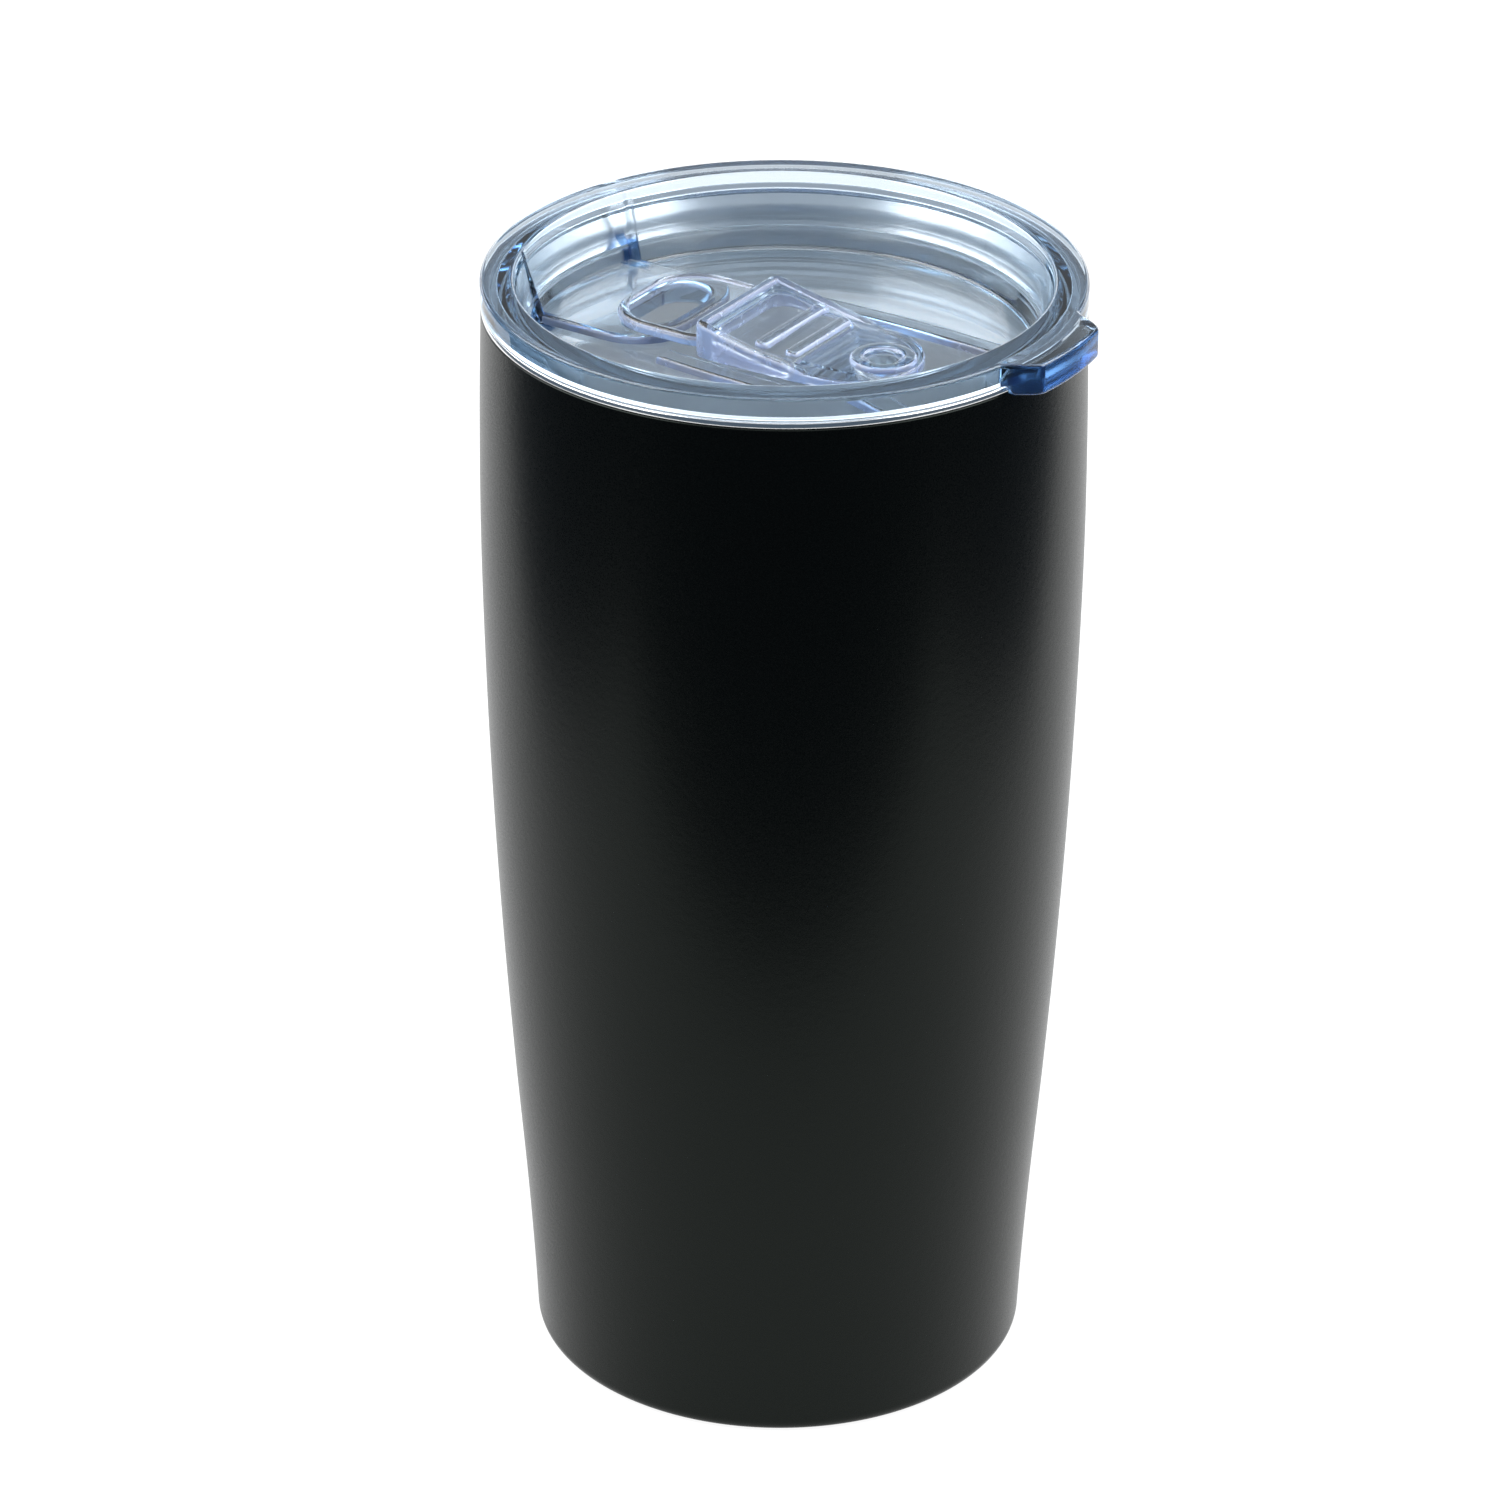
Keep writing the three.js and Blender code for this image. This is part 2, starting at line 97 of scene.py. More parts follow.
LID_RADIUS = LID_HIGH.y
LID_TOP = LID_HIGH.z
FLANGE_LOW = LIP_TOP + 0.3
RECESS_TOP_RADIUS = 39.6
RECESS_FLOOR_RADIUS = 36.9
RECESS_FLOOR = 164.5
UNDERSIDE = LID_LOW.z
PLUG_LOW_RADIUS = 39.3
PLUG_HIGH_RADIUS = 41.9
GROOVE_RADIUS = GASKET_HIGH.x - 2.5
GROOVE_LOW = GASKET_LOW.z - 0.3
GROOVE_HIGH = GASKET_HIGH.z + 0.3
TAB_RADIUS = LID_HIGH.x
TAB_LOW = 171.2
TAB_TURN = 1.3
TAB_HALF_ANGLE = 9.2
TAB_ROOT_ANGLE = 15.3
SPOUT_RIB_ANGLE = 20.0
SPOUT_RIB_WIDTH = 1.0
SPOUT_RIB_DEPTH = 0.9

PLATFORM_TOP = 165.8
PLATFORM_HALF = 13.0
PLATFORM_END = -14.0
PLATFORM_CORNER = 9.0
DRINK_HOLE = (-24.5, -16.5, 8.0, 3.9)
HOLE_ROUND = 0.9
RAIL_TOP = 165.7
RAIL_INNER = 12.3
RAIL_WIDTH = 3.4
RAIL_X = (-12.0, 33.0)
RAIL_BOW = 1.1

PLATE_LOW = 164.8
PLATE_TOP = 166.4
PLATE_HALF = 10.5
PLATE_CENTRE = 12.0
TONGUE_LOW = 166.1
TONGUE_TOP = 167.3
TONGUE_HALF = SLIDER_HIGH.y
TONGUE_END = SLIDER_LOW.x
GRIP_X = -9.0
GRIP_TOP = SLIDER_HIGH.z
GRIP_THICK = 1.9
RAMP_SLOPE = 0.19
RAMP_THICK = 1.5
RAMP_END = 9.5
BORDER_WIDTH = 1.9
BORDER_HIGH = 0.6
RIBS = ((1.4, 18.0), (6.0, 16.0))
RIB_WIDTH = 2.4
RIB_HIGH = 0.9
RAMP_SAG = 0.35
SLIDER_BOW = 0.35
TONGUE_ROUND = 8.5
BOSS_X = (RETAINER_LOW.x + RETAINER_HIGH.x) / 2
BOSS_RADIUS = 5.0
BOSS_TOP = 167.3
BOSS_DISH = 0.7
PEG_RADIUS = 2.6
PEG_HEAD_RADIUS = 3.4
PEG_HEAD_THICK = 1.1
SLIDE_TRAVEL = 11.0
SLOT_CLEARANCE = 0.35


# ---------------------------------------------------------------- mesh code
def rounded(points, steps=5):
    """A line through (x, y, radius) points with its corners rounded; radius 0 keeps a corner sharp."""
    line = []
    for i, (x, y, radius) in enumerate(points):
        here = np.array((x, y))
        if radius == 0 or i in (0, len(points) - 1):
            line.append(here)
            continue
        before = np.array(points[i - 1][:2]) - here
        after = np.array(points[i + 1][:2]) - here
        lengths = np.linalg.norm(before), np.linalg.norm(after)
        before, after = before / lengths[0], after / lengths[1]
        half = math.acos(max(-1.0, min(1.0, float(before @ after)))) / 2
        reach = min(radius / max(math.tan(half), 1e-6), 0.48 * min(lengths))
        for t in np.linspace(0, 1, steps + 1):
            bend = here + before * reach * (1 - t) ** 2 + after * reach * t ** 2
            line.append(bend)
    return np.array(line)


def smooth_through(points, steps):
    """A smooth line through (radius, height) points, by height, with slopes that never overshoot."""
    radii = np.array([p[0] for p in points])
    heights = np.array([p[1] for p in points])
    rise = np.diff(radii) / np.diff(heights)
    slopes = np.concatenate(([rise[0]], (rise[1:] + rise[:-1]) / 2, [rise[-1]]))
    at = np.linspace(heights[0], heights[-1], steps + 1)
    k = np.clip(np.searchsorted(heights, at, side="right") - 1, 0, len(heights) - 2)
    span = heights[k + 1] - heights[k]
    t = (at - heights[k]) / span
    value = (
        (2 * t ** 3 - 3 * t ** 2 + 1) * radii[k]
        + (t ** 3 - 2 * t ** 2 + t) * span * slopes[k]
        + (3 * t ** 2 - 2 * t ** 3) * radii[k + 1]
        + (t ** 3 - t ** 2) * span * slopes[k + 1]
    )
    return np.stack([value, at], 1)


def make_object(name, vertices, faces):
    """An object from vertices in millimetres, with doubled vertices merged and faces turned outwards."""
    mesh = bpy.data.meshes.new(name)
    shape = bmesh.new()
    corners = [shape.verts.new(Vector(v) * MM) for v in vertices]
    for face in faces:
        shape.faces.new([corners[i] for i in face])
    bmesh.ops.remove_doubles(shape, verts=shape.verts, dist=1e-7)
    bmesh.ops.dissolve_degenerate(shape, edges=shape.edges, dist=1e-8)
    bmesh.ops.recalc_face_normals(shape, faces=shape.faces)
    shape.to_mesh(mesh)
    shape.free()
    obj = bpy.data.objects.new(name, mesh)
    bpy.context.scene.collection.objects.link(obj)
    return obj


def turned(name, profile_at, angles, closed=False):
    """A body of revolution whose (radius, height) profile may change with the angle, in degrees."""
    rings = np.array([profile_at(angle) for angle in angles])
    count, length = rings.shape[:2]
    turn = np.radians(angles)[:, None]
    vertices = np.stack([rings[..., 0] * np.cos(turn), rings[..., 0] * np.sin(turn), rings[..., 1]], -1)
    faces = []
    for i in range(count):
        for j in range(length if closed else length - 1):
            k = (j + 1) % length
            m = (i + 1) % count
            faces.append((i * length + j, m * length + j, m * length + k, i * length + k))
    return make_object(name, vertices.reshape(-1, 3), faces)


def turned_plain(name, profile, segments=256, closed=False):
    return turned(name, lambda _: profile, np.arange(segments) * 360 / segments, closed)


def inset(outline, distance):
    """A closed outline, counter-clockwise, moved inwards."""
    ahead = np.roll(outline, -1, 0) - outline
    behind = outline - np.roll(outline, 1, 0)
    ahead /= np.linalg.norm(ahead, axis=1)[:, None]
    behind /= np.linalg.norm(behind, axis=1)[:, None]
    normal_a = np.stack([-ahead[:, 1], ahead[:, 0]], 1)
    normal_b = np.stack([-behind[:, 1], behind[:, 0]], 1)
    middle = normal_a + normal_b
    middle /= np.linalg.norm(middle, axis=1)[:, None]
    return outline + middle * (distance / np.maximum((middle * normal_a).sum(1), 0.3))[:, None]


def lofted(name, outlines):
    """A closed body through outlines of equally many (x, y, z) points, with a flat cap at each end."""
    count = len(outlines[0])
    last = (len(outlines) - 1) * count
    faces = [tuple(reversed(range(count))), tuple(range(last, last + count))]
    for here in range(0, last, count):
        there = here + count
        for i in range(count):
            j = (i + 1) % count
            faces.append((here + i, here + j, there + j, there + i))
    return make_object(name, [point for outline in outlines for point in outline], faces)


def slab(name, outline, low, high, round_top=0.0, round_low=0.0, steps=4):
    """An outline raised from low to high (numbers, or functions of x), with rounded edges."""
    low_at = low if callable(low) else lambda x: low
    high_at = high if callable(high) else lambda x: high
    quarter = np.linspace(0, math.pi / 2, steps + 1)
    low_turn = quarter if round_low else quarter[-1:]
    high_turn = quarter if round_top else quarter[:1]
    levels = [(low_at, round_low * (1 - math.sin(a)), round_low * (1 - math.cos(a))) for a in low_turn]
    levels += [(high_at, round_top * (1 - math.cos(a)), round_top * (math.sin(a) - 1)) for a in high_turn]
    return lofted(name, [
        [(x, y, height_at(x) + offset) for x, y in inset(outline, distance)]
        for height_at, distance, offset in levels
    ])


def round_plan(x0, x1, half, radius, steps=10):
    """A rectangle in plan with round corners, counter-clockwise."""
    radius = min(radius, half - 1e-3, (x1 - x0) / 2 - 1e-3)
    points = []
    for cx, cy, start in (
        (x1 - radius, radius - half, -90),
        (x1 - radius, half - radius, 0),
        (x0 + radius, half - radius, 90),
        (x0 + radius, radius - half, 180),
    ):
        for angle in np.radians(np.linspace(start, start + 90, steps + 1)):
            points.append((cx + radius * math.cos(angle), cy + radius * math.sin(angle)))
    return np.array(points)


def flared(name, outline, low, high, flare, steps=5):
    """A cutter whose sides lean out in a quarter round at both ends, for a hole with rounded edges."""
    quarter = np.linspace(0, math.pi / 2, steps)
    levels = [(low + flare * (1 - math.cos(a)), flare * (1 - math.sin(a))) for a in quarter]
    levels += [(low + high - z, out) for z, out in reversed(levels)]
    levels = [(low - 2, flare)] + levels + [(high + 2, flare)]
    return lofted(name, [[(x, y, z) for x, y in inset(outline, -out)] for z, out in levels])


def bead(name, path, radius, sides=16):
    """A round bead along a closed path of (x, y, z) points."""
    path = np.array(path)
    ahead = np.roll(path, -1, 0) - np.roll(path, 1, 0)
    ahead /= np.linalg.norm(ahead, axis=1)[:, None]
    across = np.cross(ahead, (0, 0, 1.0))
    across /= np.linalg.norm(across, axis=1)[:, None]
    up = np.cross(across, ahead)
    turn = np.arange(sides) * 2 * math.pi / sides
    rings = (
        path[:, None]
        + radius * np.cos(turn)[None, :, None] * across[:, None]
        + radius * np.sin(turn)[None, :, None] * up[:, None]
    )
    count = len(path)
    faces = []
    for i in range(count):
        for j in range(sides):
            k, m = (j + 1) % sides, (i + 1) % count
            faces.append((i * sides + j, m * sides + j, m * sides + k, i * sides + k))
    return make_object(name, rings.reshape(-1, 3), faces)


def combine(target, tool, operation):
    """Joins (UNION), cuts (DIFFERENCE) or crops (INTERSECT) target by tool, and removes tool."""
    modifier = target.modifiers.new("combine", "BOOLEAN")
    modifier.solver = "MANIFOLD"
    modifier.operation = operation
    modifier.object = tool
    bpy.context.view_layer.update()
    graph = bpy.context.evaluated_depsgraph_get()
    mesh = bpy.data.meshes.new_from_object(target.evaluated_get(graph), depsgraph=graph)
    target.modifiers.clear()
    target.data = mesh
    bpy.data.objects.remove(tool)
    return target


def finish_piece(obj, name, body, replaced, material):
    """Shades a piece, gives it its material and ties it to its CAD body."""
    obj.name = name
    obj.data.name = name
    obj.data.materials.clear()
    obj.data.materials.append(material)
    obj.data.shade_smooth()
    obj.data.set_sharp_from_angle(angle=SHARP_EDGE)
    weighted = obj.modifiers.new("even_shading", "WEIGHTED_NORMAL")
    weighted.keep_sharp = True
    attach(obj, body)
    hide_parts(*replaced)
    return obj


def add_painted_glow_edges(obj):
    """Gives the small upright faces inside the recess a rougher plastic with a painted pale glow."""
    obj.data.materials.append(PAINTED_GLOW_EDGE)
    for face in obj.data.polygons:
        x, y, z = face.center / MM
        radius = math.hypot(x, y)
        inside = radius < RECESS_FLOOR_RADIUS - 1.6
        if z > RECESS_FLOOR - 0.2 and abs(face.normal.z) < 0.8 and inside:
            face.material_index = 1
    return obj


# ---------------------------------------------------------------- materials
# Painted glow: deep blue laid on the tab's upright faces and the ribs' feet, standing in for light gathered
# in the plastic's edges.
PAINTED_GLOW_BLUE = (0.035, 0.12, 0.38)
# Painted shade: a grey tint laid on the clear rim's top, standing in for the dark seen through it.
RIM_PAINTED_SHADE = (0.42, 0.45, 0.49)
DEPTH_BLUE, DEPTH_DENSITY = (0.05, 0.52, 0.86), 40
PLASTIC_IOR = 1.57


class Nodes:
    """A material's node tree with short calls for the nodes used here."""

    def __init__(self, name):
        self.material = bpy.data.materials.new(name)
        self.material.use_nodes = True
        self.tree = self.material.node_tree
        self.tree.nodes.clear()
        self.output = self.add("ShaderNodeOutputMaterial")
        self.shader = self.add("ShaderNodeBsdfPrincipled")
        self.link(self.shader.outputs[0], self.output.inputs["Surface"])

    def add(self, kind, **settings):
        node = self.tree.nodes.new(kind)
        for key, value in settings.items():
            setattr(node, key, value)
        return node

    def link(self, source, target):
        self.tree.links.new(source, target)

    def set(self, **values):
        for key, value in values.items():
            self.shader.inputs[key.replace("_", " ")].default_value = value

    def place(self):
        return self.add("ShaderNodeTexCoord").outputs["Object"]

    def noise(self, vector, scale, detail=2.0, rough=0.5):
        node = self.add("ShaderNodeTexNoise")
        self.link(vector, node.inputs["Vector"])
        node.inputs["Scale"].default_value = scale
        node.inputs["Detail"].default_value = detail
        node.inputs["Roughness"].default_value = rough
        return node.outputs["Fac"]

    def math(self, operation, a, b=None):
        node = self.add("ShaderNodeMath", operation=operation)
        for socket, value in zip(node.inputs, (a, b)):
            if value is None:
                continue
            if isinstance(value, (int, float)):
                socket.default_value = value
            else:
                self.link(value, socket)
        return node.outputs[0]

    def remap(self, value, low, high, to_low, to_high):
        node = self.add("ShaderNodeMapRange")
        self.link(value, node.inputs["Value"])
        for key, number in (("From Min", low), ("From Max", high), ("To Min", to_low), ("To Max", to_high)):
            node.inputs[key].default_value = number
        return node.outputs["Result"]

    def mix(self, factor, a, b):
        """Colours a to b by factor; a and b are colours or outputs."""
        node = self.add("ShaderNodeMix", data_type="RGBA")
        self.link(factor, node.inputs[0])
        for socket, value in ((node.inputs[6], a), (node.inputs[7], b)):
            if isinstance(value, tuple):
                socket.default_value = (*value, 1)
            else:
                self.link(value, socket)
        return node.outputs[2]

    def absorb(self):
        """Colour that deepens with the thickness looked through."""
        depth = self.add("ShaderNodeVolumeAbsorption")
        depth.inputs["Color"].default_value = (*DEPTH_BLUE, 1)
        depth.inputs["Density"].default_value = DEPTH_DENSITY
        self.link(depth.outputs[0], self.output.inputs["Volume"])

    def parts(self, vector):
        """The x, y and z of a vector output."""
        node = self.add("ShaderNodeSeparateXYZ")
        self.link(vector, node.inputs[0])
        return node.outputs

    def radius(self, x, y):
        """The distance from the tumbler's axis."""
        squares = self.math("ADD", self.math("MULTIPLY", x, x), self.math("MULTIPLY", y, y))
        return self.math("SQRT", squares)

    def upright(self):
        """1 on faces that stand up, 0 on flat ones."""
        tilt = self.parts(self.add("ShaderNodeTexCoord").outputs["Normal"])[2]
        return self.remap(self.math("ABSOLUTE", tilt), 0.45, 0.85, 1, 0)

    def tab_faces(self):
        """1 on the upright faces of the thumb tab, which stands out past the rim; a deep blue glow is
        painted there and the faces are made rougher.
        """
        x, y, _ = self.parts(self.place())
        past_rim = self.remap(self.radius(x, y), (LID_RADIUS + 0.2) * MM, (LID_RADIUS + 1.2) * MM, 0, 1)
        return self.math("MULTIPLY", past_rim, self.upright())

    def painted_shade_rim_top(self):
        """1 on the flat top of the lid's rim, all the way round, where grey shade is painted."""
        x, y, z = self.parts(self.place())
        start = RECESS_TOP_RADIUS - 0.2
        outside = self.remap(self.radius(x, y), start * MM, (start + 0.8) * MM, 0, 1)
        high = self.remap(z, (LID_TOP - 0.5) * MM, (LID_TOP - 0.1) * MM, 0, 1)
        return self.math("MULTIPLY", outside, high)

    def painted_glow_rib_feet(self):
        """1 on the lower half of both spout ribs, where a deep blue glow is painted."""
        x, y, z = self.parts(self.place())
        rib_x = -RECESS_FLOOR_RADIUS * math.cos(math.radians(SPOUT_RIB_ANGLE)) * MM
        rib_y = RECESS_FLOOR_RADIUS * math.sin(math.radians(SPOUT_RIB_ANGLE)) * MM
        across = self.math("ABSOLUTE", self.math("SUBTRACT", self.math("ABSOLUTE", y), rib_y))
        near = self.remap(across, 0.7 * MM, 1.1 * MM, 1, 0)
        behind = self.remap(x, rib_x + 2 * MM, rib_x + 3 * MM, 1, 0)
        low = self.remap(z, (RECESS_FLOOR + 4.2) * MM, (RECESS_FLOOR + 5.2) * MM, 1, 0)
        return self.math("MULTIPLY", near, self.math("MULTIPLY", behind, low))

    def bump(self, height, strength, distance):
        node = self.add("ShaderNodeBump")
        node.inputs["Strength"].default_value = strength
        node.inputs["Distance"].default_value = distance
        self.link(height, node.inputs["Height"])
        self.link(node.outputs["Normal"], self.shader.inputs["Normal"])

    def ring_place(self, spread):
        """Coordinates that run round the axis: rings and turning lines keep the same value round it."""
        x, y, z = self.parts(self.place())
        join = self.add("ShaderNodeCombineXYZ")
        self.link(self.radius(x, y), join.inputs[0])
        self.link(self.math("MULTIPLY", self.math("ARCTAN2", y, x), spread), join.inputs[1])
        self.link(z, join.inputs[2])
        return join.outputs[0]


def powder_coat():
    n = Nodes("powder_coat")
    place = n.place()
    grain = n.noise(place, 4200, 2.0, 0.6)
    orange_peel = n.noise(place, 900, 1.0)
    colour = n.mix(n.remap(grain, 0.35, 0.7, 0, 1), (0.0008, 0.0009, 0.0008), (0.0022, 0.0024, 0.0023))
    n.link(colour, n.shader.inputs["Base Color"])
    n.link(n.remap(grain, 0.3, 0.7, 0.24, 0.33), n.shader.inputs["Roughness"])
    height = n.math("ADD", n.math("MULTIPLY", grain, 0.6), orange_peel)
    n.bump(height, 0.35, 0.00004)
    n.set(IOR=1.26, Specular_Tint=(0.84, 1.0, 0.91, 1))
    return n.material


def steel(name, rough=0.42, spread=0.004, anisotropic=0.85):
    """Steel brushed round the axis, its highlights spread up and down the wall."""
    n = Nodes(name)
    rings = n.ring_place(spread)
    fine = n.noise(rings, 5200, 3.0, 0.6)
    broad = n.noise(rings, 420, 2.0)
    n.link(n.mix(broad, (0.82, 0.83, 0.83), (0.93, 0.935, 0.94)), n.shader.inputs["Base Color"])
    n.link(n.remap(fine, 0.3, 0.7, 0.87 * rough, 1.22 * rough), n.shader.inputs["Roughness"])
    n.bump(fine, 0.25, 0.00003)
    tangent = n.add("ShaderNodeTangent", direction_type="RADIAL", axis="Z")
    n.link(tangent.outputs[0], n.shader.inputs["Tangent"])
    n.set(Metallic=1.0, Anisotropic=anisotropic, Anisotropic_Rotation=0.25)
    return n.material


def clear_plastic():
    """Clear, faintly blue plastic with a painted deep blue glow on the tab's upright faces and the ribs'
    feet, standing in for light gathered in those edges, and painted grey shade on the rim's top.
    """
    n = Nodes("clear_plastic")
    place = n.place()
    flow = n.noise(place, 55, 2.0)
    haze = n.noise(place, 260, 3.0)
    clear = n.mix(flow, (0.97, 0.98, 1.0), (0.99, 0.995, 1.0))
    tab = n.tab_faces()
    # Painted shade: the rim's top is tinted grey all round.
    rim = n.mix(n.painted_shade_rim_top(), clear, RIM_PAINTED_SHADE)
    # Painted glow: deep blue on the tab's upright faces and the spout ribs' lower halves.
    n.link(n.mix(n.math("MAXIMUM", tab, n.painted_glow_rib_feet()), rim, PAINTED_GLOW_BLUE), n.shader.inputs["Base Color"])
    polish = n.remap(haze, 0.4, 0.75, 0.012, 0.045)
    n.link(n.math("ADD", polish, n.math("MULTIPLY", tab, 0.2)), n.shader.inputs["Roughness"])
    n.bump(flow, 0.12, 0.0002)
    n.set(Transmission_Weight=1.0, IOR=PLASTIC_IOR)
    n.absorb()
    return n.material


def painted_glow_edge():
    """The same plastic on small upright faces, rougher, with a pale lavender diffuse part that is painted
    edge glow.
    """
    n = Nodes("painted_glow_edge")
    haze = n.noise(n.place(), 420, 3.0)
    # Painted glow: a pale lavender diffuse colour and less transmission make these edges look lit; the
    # higher roughness is the surface's own.
    n.link(n.mix(haze, (0.62, 0.70, 0.95), (0.74, 0.81, 1.0)), n.shader.inputs["Base Color"])
    n.link(n.remap(haze, 0.3, 0.7, 0.16, 0.3), n.shader.inputs["Roughness"])
    n.set(Transmission_Weight=0.68, IOR=PLASTIC_IOR)
    n.absorb()
    return n.material


def clear_rubber():
    n = Nodes("clear_rubber")
    place = n.place()
    bloom = n.noise(place, 300, 3.0)
    n.link(n.mix(bloom, (0.84, 0.90, 0.94), (0.92, 0.95, 0.97)), n.shader.inputs["Base Color"])
    n.link(n.remap(bloom, 0.3, 0.7, 0.32, 0.48), n.shader.inputs["Roughness"])
    n.bump(n.noise(place, 2500, 2.0), 0.2, 0.00003)
    n.set(Transmission_Weight=0.55, IOR=1.41)
    return n.material


def pressed_powder(name, dark, light):
    n = Nodes(name)
    grain = n.noise(n.place(), 2600, 4.0, 0.7)
    n.link(n.mix(grain, dark, light), n.shader.inputs["Base Color"])
    n.link(n.remap(grain, 0.3, 0.7, 0.6, 0.85), n.shader.inputs["Roughness"])
    n.bump(grain, 0.6, 0.0001)
    return n.material


COAT = powder_coat()
STEEL = steel("brushed_steel")
POLISHED = steel("polished_lip", rough=0.2, anisotropic=0.3)
HIDDEN_STEEL = steel("pressed_steel", rough=0.4, spread=0.02)
PLASTIC = clear_plastic()
PAINTED_GLOW_EDGE = painted_glow_edge()
RUBBER = clear_rubber()
SEALANT = pressed_powder("sealant", (0.34, 0.32, 0.29), (0.5, 0.48, 0.44))
GETTER = pressed_powder("getter_powder", (0.2, 0.2, 0.21), (0.36, 0.36, 0.37))


# ---------------------------------------------------------------- cup
def outer_shell():
    """The coated wall, rolled in at the foot."""
    outside = wall_points("outer_shell")
    foot_radius = outside[0][0]
    wall = smooth_through([p for p in outside if p[1] > FOOT_FILLET - 0.1], 96)
    low = wall[0]
    foot = np.array([
        (foot_radius + (low[0] - foot_radius) * math.sin(a), low[1] * (1 - math.cos(a)))
        for a in np.linspace(0, math.pi / 2, 12)
    ])[:-1]
    inner_edge = foot_radius - 5.9
    inside = wall[::-4] - np.array((SHEET, 0))
    inside = inside[inside[:, 1] > 4]
    top = np.array([(wall[-1][0] - 0.12, wall[-1][1]), (wall[-1][0] - SHEET, wall[-1][1])])
    wall[-1][1] -= 0.12
    profile = np.concatenate([
        [(inner_edge, 0.12), (inner_edge + 0.12, 0)],
        foot, wall, top, inside[1:],
        [(foot_radius, SHEET), (inner_edge, SHEET)],
    ])
    obj = turned_plain("outer_shell_coated", profile, closed=True)
    return finish_piece(obj, "outer_shell_coated", "tumbler", ["outer_shell"], COAT)


def inner_liner():
    """The steel cup with its bare lip rolled out over the wall."""
    neck = 41.8
    floor = LINER_LOW.z + SHEET
    corner_radius = 8.0
    foot_radius = 34.0
    foot = (foot_radius, floor + corner_radius)
    wall = smooth_through([foot, (37.4, 60), (39.6, 100), (40.9, 130), (neck, 156)], 80)
    mouth = LIP_RADIUS - 1.5
    hem = SHELL_HIGH.z + 0.06
    inside_line = rounded([
        (0, floor, 0),
        (foot_radius, floor, corner_radius),
        (wall[0][0], wall[0][1] + 0.01, 0),
    ], 14)
    rim = rounded([
        (neck, 156.5, 0),
        (neck, LIP_TOP - 2.7, 2.0),
        (mouth, LIP_TOP - 0.8, 0.8),
        (mouth, LIP_TOP, 0.38),
        (LIP_RADIUS, LIP_TOP, 0.6),
        (LIP_RADIUS, hem, 0.4),
        (LIP_RADIUS - SHEET, hem, 0.1),
        (neck + SHEET, LIP_TOP - 2.7, 1.5),
        (neck + SHEET, 156.5, 0),
    ], 6)
    outside = wall[::-4] + np.array((SHEET, 0))
    under = rounded([
        (wall[0][0] + SHEET, wall[0][1], 0),
        (foot_radius + SHEET, floor - SHEET, corner_radius + SHEET),
        (0, floor - SHEET, 0),
    ], 14)
    profile = np.concatenate([inside_line[:-1], wall, rim, outside[:-1], under])
    obj = turned_plain("inner_liner_steel", profile)
    finish_piece(obj, "inner_liner_steel", "tumbler", ["inner_liner"], STEEL)
    obj.data.materials.append(POLISHED)
    for face in obj.data.polygons:
        if face.center.z / MM > LIP_TOP - 1.5:
            face.material_index = 1
    return obj


def base_cover():
    radius = COVER_HIGH.x
    low, high = COVER_LOW.z, COVER_HIGH.z
    profile = rounded([
        (0, low, 0),
        (radius - 3.2, low, 0.6),
        (radius - 2.6, low + 0.12, 0.6),
        (radius, low + 0.12, 0.25),
        (radius, high, 0.1),
        (0, high, 0),
    ], 5)
    obj = turned_plain("base_cover_coated", profile)
    return finish_piece(obj, "base_cover_coated", "tumbler", ["base_cover"], COAT)


# ---------------------------------------------------------------- lid
def ease(value):
    """0 below 0, 1 above 1, and a smooth S between."""
    t = min(max(value, 0.0), 1.0)
    return t * t * (3 - 2 * t)


def lid_angles():
    """Angles round the lid, closer together at the tab's flanks and at the spout ribs."""
    angles = set(np.round(np.arange(0, 360, 1.0), 3))
    flank = 12
    for centre, reach, step in (
        (flank, 5, 0.125),
        (-flank, 5, 0.125),
        (180 - SPOUT_RIB_ANGLE, 2, 0.1),
        (180 + SPOUT_RIB_ANGLE, 2, 0.1),
    ):
        angles |= {round(a % 360, 3) for a in np.arange(centre - reach, centre + reach + 1e-6, step)}
    return np.array(sorted(angles))


def tab_share(angle):
    """How far out the thumb tab reaches at an angle, from 0 at the rim to 1."""
    off = abs((angle - TAB_TURN + 180) % 360 - 180)
    return ease((TAB_ROOT_ANGLE - off) / (TAB_ROOT_ANGLE - TAB_HALF_ANGLE + 0.4))


def spout_rib(angle):
    """How far a spout rib stands in from the recess wall at an angle."""
    off = min(abs(angle - 180 - s * SPOUT_RIB_ANGLE) for s in (1, -1))
    across = math.radians(off) * RECESS_FLOOR_RADIUS
    return SPOUT_RIB_DEPTH * ease((SPOUT_RIB_WIDTH / 2 + 0.5 - across) / 1.0)


